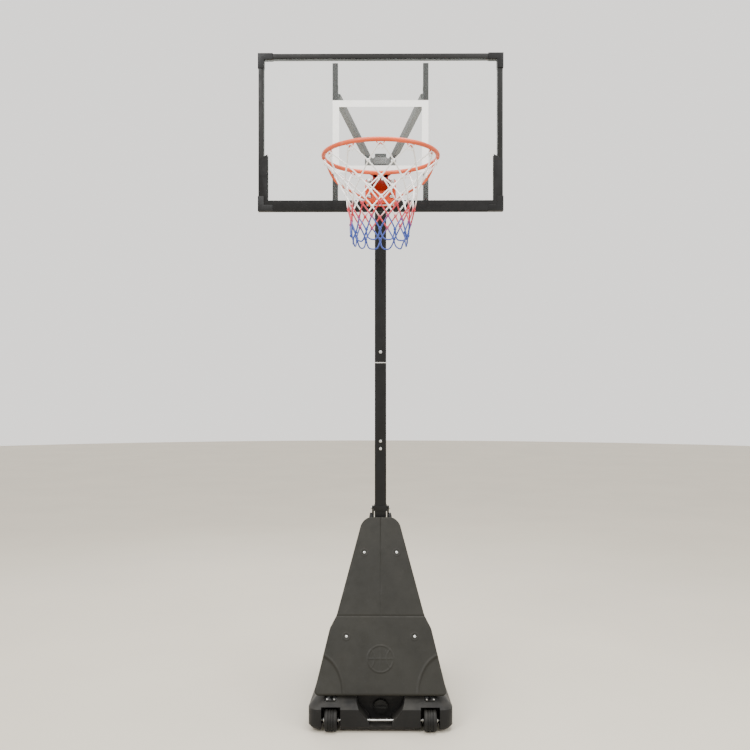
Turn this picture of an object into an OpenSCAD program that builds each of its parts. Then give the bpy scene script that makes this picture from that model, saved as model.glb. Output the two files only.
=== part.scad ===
// Portable basketball hoop: a ballast base on wheels, a telescoping square pole,
// a clear framed board and a spring-loaded rim with a hanging net.
// +Z is up, the board faces -Y, and the origin is on the floor under the pole.

/* [Board] */
// Width of the board over its frame
board_w = 1115; // [1000:5:1200]
// Height of the board over its frame
board_h = 715; // [680:5:760]
// Height of the board's lower edge above the floor, pole fully lowered
board_z = 2436; // [2436:1:2440]
// Distance from the pole's centre forward to the board's face
board_reach = 560; // [540:5:600]
// Side of the board's frame tubes
frame_t = 25; // [22:1:28]
// Thickness of the clear sheet
sheet_t = 4; // [3:0.5:5]

/* [Rim] */
// Inner diameter of the rim
rim_d = 450; // [440:1:460]
// Diameter of the rim's rod
rim_rod = 18; // [16:1:20]
// Height of the rim above the board's lower edge
rim_rise = 132; // [130:1:136]
// Distance from the board's face forward to the rim's centre
rim_reach = 376; // [370:1:385]
// Number of net hooks
hook_count = 12; // [12:1:12]

/* [Net] */
// Thickness of the net's cord
net_cord = 6; // [5:0.5:7]
// Drop of one row of meshes
net_row = 51; // [46:1:54]

/* [Pole] */
// Side of the square pole
pole_w = 60; // [60:1:62]
// Wall of the pole's tubes
pole_wall = 2; // [1.5:0.25:2.25]
// Height of the joint between the lower and the upper pole
pole_joint_z = 1760; // [1700:10:1800]
// Height of the top of the upper pole, fully lowered
pole_top_z = 2853; // [2850:1:2870]

/* [Base] */
// Width of the tank at its front
tank_front_w = 690; // [680:5:720]
// Width of the tank at its rear
tank_rear_w = 610; // [590:5:640]
// Distance from the pole to the tank's front
tank_front = 440; // [435:1:450]
// Distance from the pole to the tank's rear
tank_rear = 490; // [480:5:520]
// Height of the tank's top
tank_top = 160; // [158:1:166]
// Wall of the tank
tank_wall = 4; // [3:0.5:4]
// Diameter of a wheel
wheel_d = 100; // [96:1:102]
// Width of a wheel
wheel_w = 60; // [50:1:60]

/* [Front panel] */
// Width of the panel at its foot
panel_w = 636; // [600:4:650]
// Length of the panel up its slope
panel_len = 871; // [850:1:880]
// Depth of the panel's shell
panel_depth = 18; // [14:1:18]

/* [Hidden] */
$fn = 48;

black = [0.10, 0.10, 0.10];
olive = [0.30, 0.31, 0.27];
steel = [0.72, 0.72, 0.70];
grey = [0.58, 0.58, 0.57];
orange = [0.84, 0.36, 0.18];
dark_red = [0.55, 0.12, 0.08];

// Board planes, front to back
board_y = -board_reach;
flange_w = 8;
lip_w = 22;
sheet_y = board_y + 2;
tube_y = sheet_y + sheet_t;
tube_depth = 19;
tube_wall = 1.5;
frame_back = tube_y + tube_depth;
board_top = board_z + board_h;
upright_x = 207;
guard_t = 3;
guard_side = 42;
guard_bottom = 45;
guard_top = 2692;
guard_slant = 25;
cap_arm = 66;
cap_face = 26;
upright_gap = 16;

// Rim bracket
rim_z = board_z + rim_rise;
rim_y = board_y - rim_reach;
ring_r = (rim_d + rim_rod) / 2;
plate_half = 66;
back_t = 5;
back_y = board_y - guard_t - back_t;
bolt_x = 49;
mount_z = rim_z - 72;
spring_z = rim_z - 19;
spring_len = 50;
spring_r = 14;
spring_wire = 3;
pin_z = rim_z - 112;
pin_y = back_y - 7;
pin_r = 4;
lug_r = 6.5;
face_back = back_y - 1.5;
face_y = face_back - 5;
flex_slot = 13;

// Pole
inner_w = 55;
inner_bottom = 790;
bush_t = 4;
lock_upper_z = 1352;
lock_lower_z = 1313;
lock_r = 4;
lock_fit = 0.05;
joint_bolt_z = 1817;
pole_half = pole_w / 2;

// Base
tank_floor = 15;
pocket_z = 40;
boot_t = 3;
boot_half = pole_half + boot_t;
wheel_x = 235;
wheel_y = -415;
wheel_z = wheel_d / 2 + 2;
axle_r = 5;
axle_fit = 0.05;
well_half = 45;
well_back = -350;
valley_back = -330;
valley_side = [[50, 30], [57, 52], [80, 75], [100, 101], [112, 130], [118, 162], [118, 300]];
cap_z = 88;
cap_r = 35;
cap_bore = 25;
cap_fit = 0.05;

// Struts
collar_z = 1002;
collar_half = pole_half + 4;
strut_r = 8;
foot_z = 138;
front_foot = [237, -385];
rear_foot = [200, 430];
foot_plate = [44, 54, 5];
eye_t = 5;

// Panel frame: local Y runs up the slope and local Z points out of the front
panel_lean = 64.9;
panel_foot_y = -400;
panel_gap = 32;
panel_skin = 3.5;
panel_bolt_high = [82, 0.785];
panel_bolt_low = [166, 0.31];

// Arms
arm_w = 30;
arm_low = [61, 0, 2826];
arm_high = [203, -540, 2968];
wing_z = 2798;
wing_h = 34;
boom_w = 40;
boom_pole_z = 2660;
boom_board_z = rim_z - 45;
saddle_t = 5;

// Net: radius of the net at a drop d below the rim, and the levels of its knots
net_rows = 7;
net_start = 17;
function net_drop(i) = net_start + min(i * net_row, 349);
function net_radius(d) = 106 + 124 * exp(-(d - net_start) / 145);
function net_knot(k, i, turn) =
    let (d = net_drop(i), a = 360 / hook_count * k + turn * 15 * i, r = net_radius(d))
    [r * sin(a), rim_y - r * cos(a), rim_z - d];

// ---------- shared shapes ----------

// Box with its lowest and highest corners
module block(low, high) {
    translate(low) cube(high - low);
}

// Square-cornered box mirrored to the other side of x = 0
module both_sides() {
    children();
    mirror([1, 0, 0]) children();
}

// Rounded square outline
module soft_square(half, r) {
    union() {
        square([2 * half, 2 * (half - r)], center = true);
        square([2 * (half - r), 2 * half], center = true);
        for (sx = [-1, 1], sy = [-1, 1])
            translate([sx * (half - r), sy * (half - r)]) circle(r);
    }
}

// Upright square tube with rounded corners
module square_tube(half, wall, low, high, r) {
    translate([0, 0, low])
        linear_extrude(high - low)
            difference() {
                soft_square(half, r);
                soft_square(half - wall, max(r - wall, 1));
            }
}

// Puts its children on the line from p to q, with their Z along it
module along(p, q) {
    d = q - p;
    len_xy = norm([d[0], d[1]]);
    translate(p)
        rotate([0, atan2(len_xy, d[2]), atan2(d[1], d[0])])
            children();
}

// Round rod from p to q, its seam turned to the side
module rod(p, q, r) {
    along(p, q) rotate(90) cylinder(h = norm(q - p), r = r);
}

// Hexagon-headed bolt along +Z: shank below z = 0, head above
module bolt(r, shank, head) {
    translate([0, 0, -shank]) cylinder(h = shank, r = r);
    cylinder(h = head, r = 1.7 * r, $fn = 6);
}

// ---------- base ----------

// Plan of the tank, drawn in by a margin
module tank_plan(margin) {
    f = tank_front_w / 2 - margin;
    b = tank_rear_w / 2 - margin;
    offset(r = 50) offset(r = -50)
        polygon([
            [-f, -tank_front + margin], [f, -tank_front + margin],
            [b, tank_rear - margin], [-b, tank_rear - margin]
        ]);
}

// Blown shape of the tank, with a bevelled shoulder, drawn in by a wall
module tank_form(wall) {
    hull() {
        translate([0, 0, tank_floor + wall]) linear_extrude(1) tank_plan(10 + wall);
        translate([0, 0, tank_floor + 14]) linear_extrude(80) tank_plan(wall);
        translate([0, 0, tank_top - 1 - wall]) linear_extrude(1) tank_plan(46 + wall);
    }
}

// Valley, wheel wells, pole pocket and strut seats, each grown by a wall
module tank_cuts(wall) {
    translate([0, valley_back + wall, 0])
        rotate([90, 0, 0])
            linear_extrude(300)
                offset(delta = wall)
                    polygon(concat(
                        valley_side,
                        [for (i = [len(valley_side) - 1:-1:0]) [-valley_side[i][0], valley_side[i][1]]]
                    ));
    both_sides() {
        block([wheel_x - well_half - wall, -600, -10],
              [wheel_x + well_half + wall, well_back + wall, 118 + wall]);
        for (f = [front_foot, rear_foot])
            block([f[0] - 30 - wall, f[1] - 45 - wall, foot_z - wall],
                  [f[0] + 30 + wall, f[1] + 45 + wall, 300]);
    }
    block([-boot_half - wall, -boot_half - wall, pocket_z - wall],
          [boot_half + wall, boot_half + wall, 300]);
}

// Hollow of the tank
module tank_hollow() {
    difference() {
        tank_form(tank_wall);
        tank_cuts(tank_wall);
    }
}

// Places of the screws that hold the strut feet, on the seats' floor
module foot_screws() {
    both_sides()
        for (f = [front_foot, rear_foot], sx = [-1, 1])
            translate([f[0] + sx * 17, f[1] + sign(f[1]) * 18, foot_z]) children();
}

module base_tank() {
    color(black) {
        difference() {
            tank_form(0);
            tank_cuts(0);
            tank_hollow();
            translate([-320, wheel_y, wheel_z]) rotate([0, 90, 0]) cylinder(h = 640, r = axle_r);
            translate([0, valley_back - 10, cap_z])
                rotate([-90, 0, 0]) cylinder(h = 30, r = cap_bore);
            foot_screws() translate([0, 0, -8]) cylinder(h = 20, r = 3);
        }
        for (p = [[0, 0], [150, -300], [-150, -300], [220, 410], [-220, 410]])
            translate([p[0], p[1], 0]) cylinder(h = tank_floor + 1, r = 32);
    }
}

module ballast_fill() {
    color([0.55, 0.65, 0.70])
        difference() {
            intersection() {
                tank_hollow();
                block([-400, -600, 0], [400, 600, 134]);
            }
            translate([0, valley_back, cap_z])
                rotate([-90, 0, 0]) cylinder(h = 24, r = cap_bore + 4);
            translate([-320, wheel_y, wheel_z]) rotate([0, 90, 0]) cylinder(h = 640, r = axle_r);
        }
}

module filler_cap() {
    color(black)
        translate([0, valley_back - 3.1, cap_z])
            rotate([90, 0, 0]) {
                difference() {
                    cylinder(h = 14, r = cap_r);
                    for (i = [0:11])
                        rotate(30 * i) translate([cap_r + 2, 0, -1]) cylinder(h = 16, r = 4);
                }
                block([-28, -5, 14], [28, 5, 24]);
                translate([0, 0, -17]) cylinder(h = 17, r = cap_bore - cap_fit);
            }
}

module cap_seal() {
    color([0.15, 0.15, 0.15])
        translate([0, valley_back - 0.1, cap_z])
            rotate([90, 0, 0])
                difference() {
                    cylinder(h = 3, r = cap_r - 3);
                    translate([0, 0, -1]) cylinder(h = 5, r = cap_bore - cap_fit);
                }
}

// Moulded wheel on the +X side: tread, dished web and hub
module wheel() {
    translate([wheel_x, wheel_y, wheel_z])
        rotate([0, 90, 0])
            rotate_extrude()
                difference() {
                    polygon([
                        [axle_r + axle_fit, -30], [16, -30], [16, -12], [38, -12],
                        [38, -wheel_w / 2], [46, -wheel_w / 2], [wheel_d / 2, -wheel_w / 2 + 5],
                        [wheel_d / 2, wheel_w / 2 - 5], [46, wheel_w / 2], [38, wheel_w / 2],
                        [38, 12], [16, 12], [16, 30], [axle_r + axle_fit, 30]
                    ]);
                    for (x = [-12, 0, 12])
                        translate([wheel_d / 2 - 2, x - 2]) square([3, 4]);
                }
}

module wheel_left() {
    color(black) mirror([1, 0, 0]) wheel();
}

module wheel_right() {
    color(black) wheel();
}

module wheel_axle() {
    color(steel)
        translate([-305, wheel_y, wheel_z]) rotate([0, 90, 0]) cylinder(h = 610, r = axle_r);
}

module axle_retainers() {
    color(steel)
        both_sides()
            for (x = [wheel_x - 36, wheel_x + 32])
                translate([x, wheel_y, wheel_z])
                    rotate([0, 90, 0])
                        difference() {
                            cylinder(h = 4, r = 11);
                            translate([0, 0, -1]) cylinder(h = 6, r = axle_r);
                        }
}

module pole_boot() {
    color([0.16, 0.16, 0.16])
        difference() {
            union() {
                block([-boot_half, -boot_half, pocket_z], [boot_half, boot_half, tank_top]);
                block([-boot_half - 8, -boot_half - 8, tank_top],
                      [boot_half + 8, boot_half + 8, tank_top + 6]);
            }
            translate([0, 0, pocket_z + 5]) linear_extrude(200) soft_square(pole_half, 7);
        }
}

// ---------- pole ----------

module lower_pole() {
    color(black)
        difference() {
            square_tube(pole_half, pole_wall, pocket_z + 5, pole_joint_z, 7);
            for (z = [lock_lower_z, lock_upper_z])
                translate([0, 0, z]) rotate([90, 0, 0]) cylinder(h = 50, r = lock_r + lock_fit);
        }
}

module pole_bush() {
    color([0.75, 0.75, 0.72])
        translate([0, 0, pole_joint_z])
            linear_extrude(bush_t)
                difference() {
                    soft_square(pole_half, 7);
                    soft_square(inner_w / 2 + 0.3, 5);
                }
}

module lock_screw(z) {
    reach = pole_half - inner_w / 2 - 0.2;
    color(steel)
        translate([0, -pole_half - 0.4, z])
            rotate([90, 0, 0]) {
                cylinder(h = 7, r = 8, $fn = 6);
                translate([0, 0, -reach]) cylinder(h = reach, r = lock_r);
            }
}

module lock_screw_upper() {
    lock_screw(lock_upper_z);
}

module lock_screw_lower() {
    lock_screw(lock_lower_z);
}

module upper_pole() {
    color(black)
        difference() {
            square_tube(pole_half, pole_wall, pole_joint_z + bush_t, pole_top_z - 3, 7);
            translate([0, 0, joint_bolt_z])
                rotate([90, 0, 0]) cylinder(h = 50, r = 5);
        }
}

module inner_tube() {
    color([0.20, 0.20, 0.20])
        difference() {
            square_tube(inner_w / 2, pole_wall, inner_bottom, pole_joint_z + 160, 5);
            translate([0, 0, joint_bolt_z])
                rotate([90, 0, 0]) cylinder(h = 50, r = 5);
        }
}

module joint_bolt() {
    color(steel)
        translate([0, -pole_half, joint_bolt_z]) rotate([90, 0, 0]) bolt(5, 14, 6);
}

module pole_cap() {
    color(black)
        translate([0, 0, pole_top_z - 3]) {
            linear_extrude(3) soft_square(pole_half, 7);
            translate([0, 0, -15])
                linear_extrude(15)
                    difference() {
                        soft_square(pole_half - pole_wall, 5);
                        soft_square(pole_half - pole_wall - 2, 3);
                    }
        }
}

// ---------- struts ----------

module strut_collar() {
    color(black)
        difference() {
            block([-collar_half, -collar_half, collar_z - 14],
                  [collar_half, collar_half, collar_z + 14]);
            translate([0, 0, collar_z - 21]) linear_extrude(42) soft_square(pole_half, 7);
        }
}

module strut_top_bolts() {
    color(steel)
        both_sides()
            translate([collar_half + 2 * eye_t + 0.5, 0, collar_z])
                rotate([0, 90, 0]) bolt(5, 2 * eye_t + 0.5, 6);
}

// Tube strut on the +X side, with a flat eye at the top and a bolted foot
module strut(foot, eye_x) {
    base_p = [foot[0], foot[1] * 0.99, foot_z];
    top_p = [eye_x, 0, collar_z];
    dir = (top_p - base_p) / norm(top_p - base_p);
    difference() {
        union() {
            rod(base_p - 20 * dir, top_p - 38 * dir, strut_r);
            translate([eye_x - eye_t / 2, 0, collar_z])
                rotate([90, 0, 90])
                    linear_extrude(eye_t) {
                        circle(11);
                        rotate(atan2(-dir[2], -dir[1])) translate([0, -7]) square([74, 14]);
                    }
            translate([foot[0] - foot_plate[0] / 2, foot[1] - foot_plate[1] / 2, foot_z])
                cube(foot_plate);
        }
        block([0, -600, foot_z - 60], [600, 600, foot_z]);
        block([0, -600, foot_z], [collar_half, 600, 1200]);
        translate([eye_x - 20, 0, collar_z]) rotate([0, 90, 0]) cylinder(h = 40, r = 5);
        foot_screws() translate([0, 0, -1]) cylinder(h = 30, r = 3);
    }
}

module front_strut_right() {
    color(black) strut(front_foot, collar_half + eye_t / 2);
}

module front_strut_left() {
    color(black) mirror([1, 0, 0]) strut(front_foot, collar_half + eye_t / 2);
}

module rear_strut_right() {
    color(black) strut(rear_foot, collar_half + 1.5 * eye_t + 0.5);
}

module rear_strut_left() {
    color(black) mirror([1, 0, 0]) strut(rear_foot, collar_half + 1.5 * eye_t + 0.5);
}

module strut_foot_bolts() {
    color(steel)
        foot_screws() translate([0, 0, foot_plate[2]]) bolt(3, foot_plate[2] + 3, 4);
}

// ---------- front panel ----------

// Moves its children to the panel's own frame
module on_panel() {
    translate([0, panel_foot_y, foot_z + 22])
        rotate([panel_lean, 0, 0])
            translate([0, 0, panel_gap - panel_depth])
                children();
}

// Outline of the panel, drawn in by a margin
module panel_plan(margin) {
    offset(r = -margin)
        offset(r = 25) offset(r = -25)
            polygon([
                [-panel_w / 2, 0], [panel_w / 2, 0],
                [0.389 * panel_w, 0.36 * panel_len], [0.341 * panel_w, 0.423 * panel_len],
                [0.159 * panel_w, 0.955 * panel_len], [0.09 * panel_w, panel_len],
                [-0.09 * panel_w, panel_len], [-0.159 * panel_w, 0.955 * panel_len],
                [-0.341 * panel_w, 0.423 * panel_len], [-0.389 * panel_w, 0.36 * panel_len]
            ]);
}

// Places of the panel's four bolts, on its front face
module panel_bolt_places() {
    both_sides()
        for (b = [panel_bolt_high, panel_bolt_low])
            translate([b[0], b[1] * panel_len, panel_depth]) children();
}

module front_panel() {
    color(olive)
        on_panel()
            difference() {
                linear_extrude(panel_depth) panel_plan(0);
                translate([0, 0, -1]) linear_extrude(panel_depth - panel_skin + 1) panel_plan(panel_skin);
                block([-1.5, 0.423 * panel_len, panel_depth - 1.5],
                      [1.5, panel_len, panel_depth + 1]);
                block([-0.35 * panel_w, 0.423 * panel_len - 1.5, panel_depth - 1.5],
                      [0.35 * panel_w, 0.423 * panel_len + 1.5, panel_depth + 1]);
                panel_bolt_places() translate([0, 0, -10]) cylinder(h = 20, r = 4);
            }
}

module panel_bolts() {
    color(steel) on_panel() panel_bolt_places() bolt(4, panel_depth + 1, 4);
}

// ---------- board ----------

// Frame tube of length len along X: hollow behind, with a lip round the sheet
module frame_member(len) {
    difference() {
        union() {
            block([-len / 2, tube_y, -frame_t], [len / 2, frame_back, 0]);
            block([-len / 2, board_y, -flange_w], [len / 2, tube_y, 0]);
            block([-len / 2, board_y, -lip_w], [len / 2, sheet_y, 0]);
        }
        block([-len, tube_y + tube_wall, -frame_t + tube_wall],
              [len, frame_back - tube_wall, -tube_wall]);
    }
}

module frame_top() {
    color(black) translate([0, 0, board_top]) frame_member(board_w);
}

module frame_bottom() {
    color(black) translate([0, 0, board_z]) mirror([0, 0, 1]) frame_member(board_w);
}

module frame_right() {
    color(black)
        translate([board_w / 2, 0, board_z + board_h / 2])
            rotate([0, 90, 0]) frame_member(board_h - 2 * frame_t);
}

module frame_left() {
    color(black) mirror([1, 0, 0]) frame_right();
}

module upright_right() {
    color(black)
        difference() {
            block([upright_x - frame_t / 2, tube_y, board_z + frame_t],
                  [upright_x + frame_t / 2, frame_back, board_top - frame_t - upright_gap]);
            block([upright_x - frame_t / 2 + tube_wall, tube_y + tube_wall, board_z],
                  [upright_x + frame_t / 2 - tube_wall, frame_back - tube_wall, board_top]);
        }
}

module upright_left() {
    color(black) mirror([1, 0, 0]) upright_right();
}

// Bolt holes of the rim bracket, along Y
module rim_bolt_holes(r) {
    for (sx = [-1, 1], z = [mount_z, spring_z])
        translate([sx * bolt_x, board_y + 60, z]) rotate([90, 0, 0]) cylinder(h = 120, r = r);
}

module board_sheet() {
    color([0.85, 0.92, 0.92, 0.4])
        difference() {
            block([-board_w / 2 + flange_w, sheet_y, board_z + flange_w],
                  [board_w / 2 - flange_w, tube_y, board_top - flange_w]);
            rim_bolt_holes(5);
        }
}

module target_square() {
    color("white")
        difference() {
            block([-219, sheet_y - 0.5, 2610], [219, sheet_y, 2938]);
            block([-189, sheet_y - 1, 2640], [189, sheet_y + 1, 2908]);
        }
}

// Caps round the board's four corners, each an L in front
module corner_caps() {
    color(black)
        both_sides()
            for (low = [board_z - guard_t, board_top - cap_arm])
                difference() {
                    block([board_w / 2 - cap_arm, board_y - guard_t, low],
                          [board_w / 2 + guard_t, frame_back + guard_t, low + cap_arm + guard_t]);
                    block([0, board_y, board_z], [board_w / 2, frame_back, board_top]);
                    block([0, board_y - 10, board_z + cap_face],
                          [board_w / 2 - cap_face, 0, board_top - cap_face]);
                }
}

// Foam strip over the lower corners of the frame, its ends cut on a slant
module edge_guard() {
    color([0.06, 0.06, 0.06])
        difference() {
            block([-board_w / 2, board_y - guard_t, board_z - guard_t],
                  [board_w / 2, frame_back + guard_t, guard_top]);
            block([-board_w / 2 - 1, board_y, board_z], [board_w / 2 + 1, frame_back, guard_top + 1]);
            block([-board_w / 2 + guard_side, -900, board_z + guard_bottom],
                  [board_w / 2 - guard_side, 0, guard_top + 1]);
            both_sides()
                translate([0, 0, guard_top])
                    rotate([90, 0, 0])
                        linear_extrude(900)
                            polygon([
                                [board_w / 2 - guard_side, 0], [board_w / 2 + 1, -guard_slant],
                                [board_w / 2 + 1, 9], [board_w / 2 - guard_side, 9]
                            ]);
            both_sides()
                difference() {
                    block([board_w / 2 - cap_arm, -900, board_z - 9],
                          [board_w / 2 + 9, 0, board_z + cap_arm]);
                    block([0, -901, board_z + cap_face], [board_w / 2 - cap_face, 1, board_top]);
                }
        }
}

// ---------- arms and boom ----------

module arm_bracket() {
    color(grey)
        difference() {
            union() {
                block([-pole_half - 5, -pole_half - 5, wing_z],
                      [pole_half + 5, pole_half + 5, wing_z + wing_h]);
                both_sides()
                    block([pole_half + 5, -20, wing_z], [82, 20, wing_z + wing_h]);
            }
            translate([0, 0, wing_z - 1]) linear_extrude(wing_h + 2) soft_square(pole_half, 7);
        }
}

module arm_bracket_bolts() {
    color(steel)
        both_sides()
            translate([61, -20, wing_z + wing_h / 2]) rotate([90, 0, 0])
                cylinder(h = 6, r = 8, $fn = 6);
}

// Square arm on the +X side, from the bracket's wing to the plate on the upright
module arm() {
    reach = norm(arm_high - arm_low);
    difference() {
        along(arm_low, arm_high)
            translate([0, 0, -60])
                linear_extrude(reach + 120)
                    rotate(16)
                        difference() {
                            soft_square(arm_w / 2, 4);
                            soft_square(arm_w / 2 - 2, 2);
                        }
        block([-200, -300, 0], [300, 300, wing_z + wing_h]);
        block([0, -900, 2600], [500, frame_back + 4, 3400]);
    }
}

module arm_right() {
    color(grey) arm();
}

module arm_left() {
    color(grey) mirror([1, 0, 0]) arm();
}

module arm_plates() {
    color(grey)
        both_sides()
            block([upright_x - 13.5, frame_back, 2925], [upright_x + 13.5, frame_back + 4, 3015]);
}

module arm_bolts() {
    color(steel)
        both_sides()
            for (z = [2934, 3006])
                translate([upright_x, frame_back + 4, z])
                    rotate([-90, 0, 0]) cylinder(h = 5, r = 7, $fn = 6);
}

module boom_saddle() {
    color(grey)
        block([-32, -pole_half - saddle_t, boom_pole_z - 45], [32, -pole_half, boom_pole_z + 45]);
}

module centre_boom() {
    low = [0, tube_y + 6, boom_board_z];
    high = [0, -pole_half - saddle_t, boom_pole_z];
    color(grey)
        difference() {
            along(low, high)
                translate([0, 0, -60])
                    linear_extrude(norm(high - low) + 120)
                        difference() {
                            soft_square(boom_w / 2, 4);
                            soft_square(boom_w / 2 - 2, 2);
                        }
            block([-90, -900, 2000], [90, tube_y + 6, 3000]);
            block([-90, -pole_half - saddle_t, 2000], [90, 200, 3000]);
        }
}

module rear_mount_plate() {
    color(grey)
        difference() {
            block([-65, tube_y, board_z + frame_t + 1], [65, tube_y + 6, rim_z + 12]);
            rim_bolt_holes(5);
        }
}

module boom_bolts() {
    color(steel)
        both_sides()
            for (z = [boom_pole_z - 36, boom_pole_z + 36])
                translate([22, -pole_half - saddle_t, z])
                    rotate([90, 0, 0]) cylinder(h = 5, r = 6, $fn = 6);
}

// ---------- rim ----------

module rim_pad() {
    color([0.12, 0.12, 0.12])
        difference() {
            block([-68, board_y - guard_t, board_z + guard_bottom + 1], [68, sheet_y, rim_z + 2]);
            rim_bolt_holes(5);
        }
}

// Outline of the bracket's plates in X and Z, with round lower corners
module bracket_plan(half, low, high) {
    union() {
        translate([-half, low + 28]) square([2 * half, high - low - 28]);
        translate([-half + 28, low]) square([2 * half - 56, 30]);
        for (sx = [-1, 1])
            translate([sx * (half - 28), low + 28]) circle(28);
    }
}

module rim_back_plate() {
    color(orange)
        difference() {
            union() {
                translate([0, back_y + back_t, 0])
                    rotate([90, 0, 0])
                        linear_extrude(back_t) bracket_plan(plate_half + 4, pin_z - 6, rim_z + 2);
                for (x = [-40, 30]) {
                    block([x, pin_y, pin_z - lug_r], [x + 10, back_y, pin_z + lug_r]);
                    translate([x, pin_y, pin_z]) rotate([0, 90, 0]) cylinder(h = 10, r = lug_r);
                }
            }
            rim_bolt_holes(5);
            translate([-60, pin_y, pin_z]) rotate([0, 90, 0]) cylinder(h = 120, r = pin_r);
        }
}

module rim_mount_bolts() {
    color(steel)
        both_sides()
            translate([bolt_x, back_y, mount_z]) {
                rotate([90, 0, 0]) bolt(5, tube_y + 6 - back_y, 5);
                translate([0, tube_y + 6 - back_y, 0])
                    rotate([-90, 0, 0]) cylinder(h = 8, r = 8.5, $fn = 6);
            }
}

// Long bolt through plate and spring on the +X side, with washer and nut in front
module spring_bolt() {
    front = face_y - spring_len;
    translate([bolt_x, 0, spring_z]) {
        translate([0, tube_y + 6, 0]) rotate([90, 0, 0])
            cylinder(h = tube_y + 6 - front + 14, r = 5);
        translate([0, tube_y + 6, 0]) rotate([-90, 0, 0]) cylinder(h = 6, r = 8.5, $fn = 6);
        translate([0, front, 0]) rotate([90, 0, 0]) cylinder(h = 2, r = 13);
        translate([0, front - 2, 0]) rotate([90, 0, 0]) cylinder(h = 8, r = 8.5, $fn = 6);
    }
}

module spring_bolts() {
    color(steel) both_sides() spring_bolt();
}

// Coil about the Y axis as one swept tube: n points a ring, rings along the turns
module coil(turns, r, wire, len) {
    per_turn = 12;
    sides = 6;
    steps = turns * per_turn;
    function ring(i) =
        let (t = 360 * i / per_turn, y = wire + (len - 2 * wire) * i / steps)
        [for (j = [0:sides - 1])
            let (a = 360 * j / sides, q = r + wire * cos(a))
            [q * cos(t), y + wire * sin(a), q * sin(t)]];
    points = [for (i = [0:steps]) each ring(i)];
    skin = [for (i = [0:steps - 1], j = [0:sides - 1])
        let (k = (j + 1) % sides)
        [i * sides + j, (i + 1) * sides + j, (i + 1) * sides + k, i * sides + k]];
    ends = [[for (j = [0:sides - 1]) j],
            [for (j = [sides - 1:-1:0]) steps * sides + j]];
    polyhedron(points, concat(skin, ends), convexity = 8);
}

module spring_right() {
    color(steel)
        translate([bolt_x, face_y - spring_len + 0.1, spring_z])
            coil(5, spring_r - spring_wire, spring_wire, spring_len - 0.4);
}

module spring_left() {
    color(steel)
        translate([-bolt_x, face_y - spring_len + 0.1, spring_z])
            coil(5, spring_r - spring_wire, spring_wire, spring_len - 0.4);
}

module rim_pivot_pin() {
    color(steel)
        translate([-58, pin_y, pin_z])
            rotate([0, 90, 0]) {
                cylinder(h = 116, r = pin_r);
                translate([0, 0, -4]) cylinder(h = 4, r = 6);
                translate([0, 0, 116]) cylinder(h = 4, r = 6);
            }
}

module rim_face_plate() {
    color(orange)
        difference() {
            union() {
                translate([0, face_back, 0])
                    rotate([90, 0, 0])
                        linear_extrude(face_back - face_y)
                            bracket_plan(plate_half, pin_z + 8, rim_z + 2);
                both_sides() {
                    block([44, face_y, pin_z], [54, face_back, pin_z + 30]);
                    translate([44, pin_y, pin_z]) rotate([0, 90, 0]) cylinder(h = 10, r = lug_r);
                }
            }
            for (sx = [-1, 1]) {
                translate([sx * bolt_x, face_back + 1, mount_z])
                    rotate([90, 0, 0]) cylinder(h = 8, r = 11.5);
                for (dz = [0, flex_slot - 6])
                    translate([sx * bolt_x, face_back + 1, spring_z + dz])
                        rotate([90, 0, 0]) cylinder(h = 8, r = 6.5);
                block([sx * bolt_x - 6.5, face_y - 1, spring_z],
                      [sx * bolt_x + 6.5, face_back + 1, spring_z + flex_slot - 6]);
            }
            translate([-60, pin_y, pin_z])
                rotate([0, 90, 0]) cylinder(h = 120, r = pin_r + axle_fit);
        }
}

// Neck: a plate at the rim's height on two tapered ribs and a sloping web
module rim_neck() {
    top = rim_z + 2;
    color(dark_red)
        difference() {
            union() {
                translate([0, 0, top - 5])
                    linear_extrude(5)
                        polygon([
                            [-34, face_y], [34, face_y], [34, face_y - 72],
                            [64, rim_y + ring_r - 24], [-64, rim_y + ring_r - 24],
                            [-34, face_y - 72]
                        ]);
                for (x = [-34, 30])
                    translate([x, 0, 0])
                        rotate([90, 0, 90])
                            linear_extrude(4)
                                polygon([
                                    [face_y, top - 4], [face_y, rim_z - 46],
                                    [rim_y + ring_r + 14, rim_z - 18],
                                    [rim_y + ring_r + 14, top - 4]
                                ]);
                translate([-31, 0, 0])
                    rotate([90, 0, 90])
                        linear_extrude(62)
                            polygon([
                                [face_y, rim_z - 43], [face_y, rim_z - 46],
                                [rim_y + ring_r + 14, rim_z - 18], [rim_y + ring_r + 14, rim_z - 15]
                            ]);
            }
            translate([0, rim_y, rim_z - 30]) cylinder(h = 60, r = ring_r + rim_rod / 2 - 1, $fn = 96);
        }
}

module rim_ring() {
    color(orange)
        translate([0, rim_y, rim_z])
            rotate_extrude($fn = 120) translate([ring_r, 0]) circle(rim_rod / 2);
}

module rim_hooks() {
    color(orange)
        for (k = [0:hook_count - 1])
            translate([0, rim_y, rim_z - rim_rod / 2])
                rotate(360 / hook_count * k)
                    translate([0, -ring_r, -7])
                        rotate([90, 0, 0])
                            rotate_extrude() translate([8, 0]) circle(2);
}

// Cuts every corner of a path twice, at a quarter of each side
function cut_corners(path, n) =
    n == 0 ? path :
    cut_corners([
        path[0],
        for (i = [0:len(path) - 2]) each [
            0.75 * path[i] + 0.25 * path[i + 1],
            0.25 * path[i] + 0.75 * path[i + 1]
        ],
        path[len(path) - 1]
    ], n - 1);

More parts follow.
